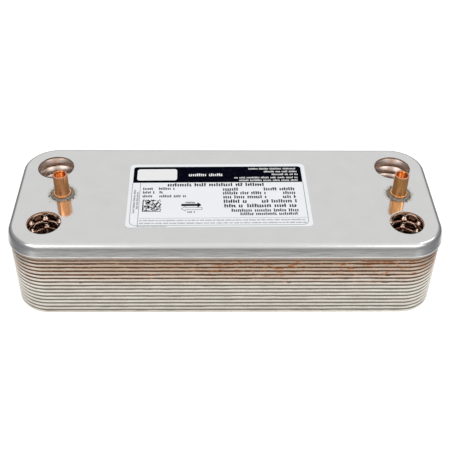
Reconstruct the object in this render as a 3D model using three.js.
// Brazed plate heat exchanger: a cover plate with four ports, fifteen channel
// plates and a blind back plate, all pressed as shallow trays that nest in each
// other and are joined by copper. Two internally threaded studs are welded on.
//
// Frame: X runs along the length, Y across it, Z up through the stack. The
// origin is under the middle of the stack, at the free edge of the back plate.

import * as THREE from 'three';

// Ports, on the four corners of a rectangle, and the centres of the tray corners.
const PORT_SPACING_X = 172;
const PORT_SPACING_Y = 43;
const PORT_RADIUS_FAR = 9.0;
const PORT_RADIUS_NEAR = 8.05;
const PORT_SEGMENTS = 12;

// The channel plates' far ports are a little wider than the cover's, and the cover
// keeps a flat land around each port for the seal that is clamped on it.
const PLATE_PORT_RADIUS_FAR = 9.7;
const SEAL_LAND_RADIUS = 13.2;

// Tray corners: arcs about the port centres, all cut at the same angles so that
// the flat facets of nested plates stay parallel.
const CORNER_STEPS = 5;

// Stack of plates below the cover.
const PLATE_COUNT = 16;
const PLATE_PITCH = 2.38;
const PLATE_SHEET = 0.36;
const RIM_HEIGHT = 6.0;
const RIM_FLARE = THREE.MathUtils.degToRad(10.5);
const RIM_EDGE_OFFSET = 16.85;
const RIM_BEND = 0.9;

// Port lips: around each hole the web is pressed up or down in a cone, so that
// the plates meet in pairs there and each port opens to every second channel.
const LIP_WIDTH = 2.6;
const LIP_GAP = 0.02;

// The first plate sits close under the cover and flares with its skirt.
const FIRST_PLATE_FLARE = THREE.MathUtils.degToRad(14);
const FIRST_PLATE_DROP = 1.2;
const SECOND_PLATE_DROP = 4.3;

// Cover plate.
const COVER_SHEET = 0.8;
const SKIRT_EDGE_OFFSET = 17.6;
const SKIRT_HEIGHT = 5.7;
const SKIRT_FLARE = THREE.MathUtils.degToRad(15);
const COVER_BEND_RADIUS = 2.3;
const COVER_BEND_STEPS = 3;

// Copper fillets in the steps between the rims.
const FILLET_HEIGHT = 0.55;
const FILLET_WIDTH = 0.3;
const FILLET_GAP = 0.015;

// Internally threaded weld studs, M5 inside a 7.1 mm body.
const STUDS = { stud_left: [-79.85, 0], stud_right: [85.6, 0] };
const STUD_HEIGHT = 12.0;
const STUD_RADIUS = 3.55;
const STUD_TOP_CHAMFER = 0.35;
const STUD_FLANGE_RADIUS = 4.3;
const STUD_FLANGE_HEIGHT = 1.3;
const STUD_BORE_RADIUS = 2.25;
const STUD_MOUTH_RADIUS = 2.8;
const STUD_BORE_DEPTH = 8.5;
const WELD_OUTER_RADIUS = 6.15;
const WELD_HEIGHT = 0.9;
const TURNED_SEGMENTS = 24;

// Adhesive rating label.
const LABEL_SIZE = [88.7, 48.8];
const LABEL_CENTRE = [-3.4, -0.4];
const LABEL_TURN = THREE.MathUtils.degToRad(0.65);
const LABEL_CORNER_RADIUS = 2.2;
const LABEL_THICKNESS = 0.12;
const LABEL_CORNER_STEPS = 3;

// Heights: the back plate's free edge is at 0.
const BACK_PLATE_DROP = SECOND_PLATE_DROP + PLATE_PITCH * (PLATE_COUNT - 2);
const COVER_TOP = BACK_PLATE_DROP + RIM_HEIGHT;

const PORTS = [
  { x: -PORT_SPACING_X / 2, y: PORT_SPACING_Y / 2, radius: PORT_RADIUS_FAR, isFar: true },
  { x: PORT_SPACING_X / 2, y: PORT_SPACING_Y / 2, radius: PORT_RADIUS_FAR, isFar: true },
  { x: -PORT_SPACING_X / 2, y: -PORT_SPACING_Y / 2, radius: PORT_RADIUS_NEAR, isFar: false },
  { x: PORT_SPACING_X / 2, y: -PORT_SPACING_Y / 2, radius: PORT_RADIUS_NEAR, isFar: false },
];

const FINISHES = {
  stainless: { color: 0xcfd0d1, roughness: 0.22, metalness: 1.0 },
  rim: { color: 0xb9b4ab, roughness: 0.35, metalness: 1.0 },
  copper: { color: 0x8a5632, roughness: 0.5, metalness: 1.0 },
  plating: { color: 0xc8874c, roughness: 0.3, metalness: 1.0 },
  weld: { color: 0x6a6765, roughness: 0.75, metalness: 0.6 },
  label: { color: 0xf2f1ee, roughness: 0.45, metalness: 0.0 },
};

function makeMesh(name, geometry, finish) {
  geometry.computeVertexNormals();
  const mesh = new THREE.Mesh(geometry, new THREE.MeshStandardMaterial(FINISHES[finish]));
  mesh.name = name;
  return mesh;
}

// A closed counter-clockwise loop around the tray: four corner arcs at the given
// offset from the port centres, joined by straight sides.
function trayLoop(offset, z) {
  const loop = [];
  for (let corner = 0; corner < 4; corner += 1) {
    const signX = corner === 0 || corner === 3 ? 1 : -1;
    const signY = corner < 2 ? 1 : -1;
    for (let step = 0; step <= CORNER_STEPS; step += 1) {
      const angle = (corner + step / CORNER_STEPS) * Math.PI / 2;
      const x = signX * PORT_SPACING_X / 2 + offset * Math.cos(angle);
      const y = signY * PORT_SPACING_Y / 2 + offset * Math.sin(angle);
      loop.push(new THREE.Vector3(x, y, z));
    }
  }
  return loop;
}

// A closed clockwise loop around a port, so that its wall faces the hole.
function portLoop(port, radius, z) {
  const loop = [];
  for (let step = 0; step < PORT_SEGMENTS; step += 1) {
    const angle = -(step / PORT_SEGMENTS) * 2 * Math.PI;
    const x = port.x + radius * Math.cos(angle);
    const y = port.y + radius * Math.sin(angle);
    loop.push(new THREE.Vector3(x, y, z));
  }
  return loop;
}

function addTriangle(positions, a, b, c) {
  positions.push(a.x, a.y, a.z, b.x, b.y, b.z, c.x, c.y, c.z);
}

// Walls between each loop and the next one in a chain of equal loops.
function addWalls(positions, loops) {
  for (let ring = 0; ring + 1 < loops.length; ring += 1) {
    const from = loops[ring];
    const to = loops[ring + 1];
    for (let i = 0; i < from.length; i += 1) {
      const next = (i + 1) % from.length;
      addTriangle(positions, from[i], to[i], to[next]);
      addTriangle(positions, from[i], to[next], from[next]);
    }
  }
}

// A flat face inside the outer loop with the holes left open.
function addFlatFace(positions, outer, holes, facesUp) {
  const flat = (loop) => loop.map((point) => new THREE.Vector2(point.x, point.y));
  const triangles = THREE.ShapeUtils.triangulateShape(flat(outer), holes.map(flat));
  const points = [outer, ...holes].flat();
  for (const [i, j, k] of triangles) {
    const [a, b, c] = [points[i], points[j], points[k]];
    const twiceArea = (b.x - a.x) * (c.y - a.y) - (c.x - a.x) * (b.y - a.y);
    const turnsUp = twiceArea > 0;
    if (turnsUp === facesUp) {
      addTriangle(positions, a, b, c);
    } else {
      addTriangle(positions, a, c, b);
    }
  }
}

function closedGeometry(positions) {
  const geometry = new THREE.BufferGeometry();
  geometry.setAttribute('position', new THREE.Float32BufferAttribute(positions, 3));
  return geometry;
}

// The wall of one port hole, from the upper flat face to the lower one. On the
// cover it starts with the flat seal land. Where a plate has a lip, the wall first
// runs along its cone and ends by running back.
function portWall(port, upperZ, lowerZ) {
  const lip = port.lip ?? 0;
  const hole = [
    portLoop(port, port.radius, upperZ + lip),
    portLoop(port, port.radius, lowerZ + lip),
  ];
  if (lip === 0) {
    return [portLoop(port, SEAL_LAND_RADIUS, upperZ), ...hole];
  }
  const rootRadius = port.radius + LIP_WIDTH;
  return [portLoop(port, rootRadius, upperZ), ...hole, portLoop(port, rootRadius, lowerZ)];
}

// A tray pressed from sheet. The profile lists [offset, height] from the edge of
// the upper flat face, over the bend and down to the free edge, then back up the
// inside to the edge of the lower flat face.
function trayGeometry(profile, ports) {
  const positions = [];
  const loops = profile.map(([offset, z]) => trayLoop(offset, z));
  const upperZ = profile[0][1];
  const lowerZ = profile[profile.length - 1][1];
  const walls = ports.map((port) => portWall(port, upperZ, lowerZ));
  addFlatFace(positions, loops[0], walls.map((wall) => wall[0]), true);
  addWalls(positions, loops);
  const lowerHoles = walls.map((wall) => wall[wall.length - 1]);
  addFlatFace(positions, loops[loops.length - 1], lowerHoles, false);
  walls.forEach((wall) => addWalls(positions, wall));
  return closedGeometry(positions);
}

// Signed rise of a plate's lips. Odd plates rise at the near ports and drop at the
// far ones, and even plates the other way round. The first plate closes on the
// cover, and the last one with ports closes on the back plate.
function lipRise(number, isFar) {
  const rises = (number % 2 === 1) !== isFar;
  const meetsHalfway = (PLATE_PITCH - PLATE_SHEET - LIP_GAP) / 2;
  const firstGap = SECOND_PLATE_DROP - FIRST_PLATE_DROP - PLATE_SHEET;
  if (number === 1) {
    const toCover = FIRST_PLATE_DROP - COVER_SHEET - LIP_GAP;
    return rises ? toCover : -(firstGap - meetsHalfway - LIP_GAP);
  }
  if (number === PLATE_COUNT - 1 && !rises) {
    return -2 * meetsHalfway;
  }
  return rises ? meetsHalfway : -meetsHalfway;
}

// Profile of a channel plate or back plate whose free edge is at edgeZ.
function rimProfile(edgeZ, flare) {
  const webZ = edgeZ + RIM_HEIGHT;
  const bendZ = webZ - RIM_BEND;
  const outerAt = (z) => RIM_EDGE_OFFSET - (z - edgeZ) * Math.tan(flare);
  const thicknessAcross = PLATE_SHEET / Math.cos(flare);
  const webOffset = outerAt(webZ) - RIM_BEND;
  return [
    [webOffset, webZ],
    [outerAt(bendZ), bendZ],
    [outerAt(edgeZ), edgeZ],
    [outerAt(edgeZ) - thicknessAcross, edgeZ],
    [outerAt(bendZ) - thicknessAcross, bendZ],
    [webOffset - PLATE_SHEET / 2, webZ - PLATE_SHEET],
  ];
}

// Profile of the cover: a rounded bend, then the flared skirt.
function coverProfile() {
  const edgeZ = COVER_TOP - SKIRT_HEIGHT;
  const turn = Math.PI / 2 - SKIRT_FLARE;
  const bendDrop = COVER_BEND_RADIUS * (1 - Math.cos(turn));
  const skirtRun = (SKIRT_HEIGHT - bendDrop) * Math.tan(SKIRT_FLARE);
  const bendStart = SKIRT_EDGE_OFFSET - skirtRun - COVER_BEND_RADIUS * Math.sin(turn);
  const outer = [];
  const inner = [];
  for (let step = 0; step <= COVER_BEND_STEPS; step += 1) {
    const angle = turn * step / COVER_BEND_STEPS;
    const centreZ = COVER_TOP - COVER_BEND_RADIUS;
    const innerRadius = COVER_BEND_RADIUS - COVER_SHEET;
    outer.push([
      bendStart + COVER_BEND_RADIUS * Math.sin(angle),
      centreZ + COVER_BEND_RADIUS * Math.cos(angle),
    ]);
    inner.unshift([
      bendStart + innerRadius * Math.sin(angle),
      centreZ + innerRadius * Math.cos(angle),
    ]);
  }
  const innerEdge = SKIRT_EDGE_OFFSET - COVER_SHEET / Math.cos(SKIRT_FLARE);
  return [...outer, [SKIRT_EDGE_OFFSET, edgeZ], [innerEdge, edgeZ], ...inner];
}

// Copper drawn into the step between a free edge and the rim of the next plate.
function filletGeometry(edgeZ, nextEdgeZ) {
  const rimAt = (z) => RIM_EDGE_OFFSET - (z - nextEdgeZ) * Math.tan(RIM_FLARE) + FILLET_GAP;
  const top = edgeZ - FILLET_GAP;
  const bottom = top - FILLET_HEIGHT;
  const positions = [];
  const corners = [
    [rimAt(top), top],
    [rimAt(top) + FILLET_WIDTH, top],
    [rimAt(bottom), bottom],
    [rimAt(top), top],
  ];
  addWalls(positions, corners.map(([offset, z]) => trayLoop(offset, z)));
  return closedGeometry(positions);
}

function turnedGeometry(profile, centre, z) {
  const points = profile.map(([radius, height]) => new THREE.Vector2(radius, height));
  const geometry = new THREE.LatheGeometry(points, TURNED_SEGMENTS);
  geometry.rotateX(Math.PI / 2);
  geometry.translate(centre[0], centre[1], z);
  return geometry;
}

// Stud: flange, plain body, chamfered top and a blind threaded bore.
function studGeometry(centre) {
  const flangeTop = STUD_FLANGE_HEIGHT;
  const bodyStart = flangeTop + STUD_FLANGE_RADIUS - STUD_RADIUS;
  const mouth = STUD_MOUTH_RADIUS - STUD_BORE_RADIUS;
  return turnedGeometry([
    [0, 0],
    [STUD_FLANGE_RADIUS, 0],
    [STUD_FLANGE_RADIUS, flangeTop],
    [STUD_RADIUS, bodyStart],
    [STUD_RADIUS, STUD_HEIGHT - STUD_TOP_CHAMFER],
    [STUD_RADIUS - STUD_TOP_CHAMFER, STUD_HEIGHT],
    [STUD_MOUTH_RADIUS, STUD_HEIGHT],
    [STUD_BORE_RADIUS, STUD_HEIGHT - mouth],
    [STUD_BORE_RADIUS, STUD_HEIGHT - STUD_BORE_DEPTH],
    [0, STUD_HEIGHT - STUD_BORE_DEPTH - 1],
  ], centre, COVER_TOP);
}

// Weld ring: the metal squeezed out around the flange when the stud was fired on.
function weldRingGeometry(centre) {
  const inner = STUD_FLANGE_RADIUS + FILLET_GAP;
  return turnedGeometry([
    [inner, 0],
    [WELD_OUTER_RADIUS, 0],
    [WELD_OUTER_RADIUS - 0.5, WELD_HEIGHT * 0.75],
    [inner + 0.35, WELD_HEIGHT],
    [inner, WELD_HEIGHT],
    [inner, 0],
  ], centre, COVER_TOP);
}

function labelGeometry() {
  const halfX = LABEL_SIZE[0] / 2 - LABEL_CORNER_RADIUS;
  const halfY = LABEL_SIZE[1] / 2 - LABEL_CORNER_RADIUS;
  const shape = new THREE.Shape();
  shape.absarc(halfX, halfY, LABEL_CORNER_RADIUS, 0, Math.PI / 2);
  shape.absarc(-halfX, halfY, LABEL_CORNER_RADIUS, Math.PI / 2, Math.PI);
  shape.absarc(-halfX, -halfY, LABEL_CORNER_RADIUS, Math.PI, 1.5 * Math.PI);
  shape.absarc(halfX, -halfY, LABEL_CORNER_RADIUS, 1.5 * Math.PI, 2 * Math.PI);
  shape.closePath();
  const geometry = new THREE.ExtrudeGeometry(shape, {
    depth: LABEL_THICKNESS,
    bevelEnabled: false,
    curveSegments: LABEL_CORNER_STEPS,
  });
  geometry.rotateZ(LABEL_TURN);
  geometry.translate(LABEL_CENTRE[0], LABEL_CENTRE[1], COVER_TOP);
  return geometry;
}

const exchanger = new THREE.Group();
exchanger.name = 'plate_heat_exchanger';
exchanger.add(makeMesh('cover_plate', trayGeometry(coverProfile(), PORTS), 'stainless'));

// Free-edge heights of the plates, from the first under the cover to the last.
const edgeHeights = [];
for (let i = 0; i < PLATE_COUNT; i += 1) {
  const webDrop = i === 0 ? FIRST_PLATE_DROP : SECOND_PLATE_DROP + PLATE_PITCH * (i - 1);
  edgeHeights.push(COVER_TOP - webDrop - RIM_HEIGHT);
}

edgeHeights.forEach((edgeZ, i) => {
  const number = String(i + 1).padStart(2, '0');
  const isBack = i === PLATE_COUNT - 1;
  const name = isBack ? 'back_plate' : `channel_plate_${number}`;
  const flare = i === 0 ? FIRST_PLATE_FLARE : RIM_FLARE;
  const lipped = PORTS.map((port) => ({
    ...port,
    radius: port.isFar ? PLATE_PORT_RADIUS_FAR : port.radius,
    lip: lipRise(i + 1, port.isFar),
  }));
  const ports = isBack ? [] : lipped;
  exchanger.add(makeMesh(name, trayGeometry(rimProfile(edgeZ, flare), ports), 'rim'));
  if (!isBack) {
    const fillet = filletGeometry(edgeZ, edgeHeights[i + 1]);
    exchanger.add(makeMesh(`braze_fillet_${number}`, fillet, 'copper'));
  }
});

for (const [name, centre] of Object.entries(STUDS)) {
  exchanger.add(makeMesh(name, studGeometry(centre), 'plating'));
  const ringName = name.replace('stud', 'weld_ring');
  exchanger.add(makeMesh(ringName, weldRingGeometry(centre), 'weld'));
}

exchanger.add(makeMesh('rating_label', labelGeometry(), 'label'));

export default exchanger;
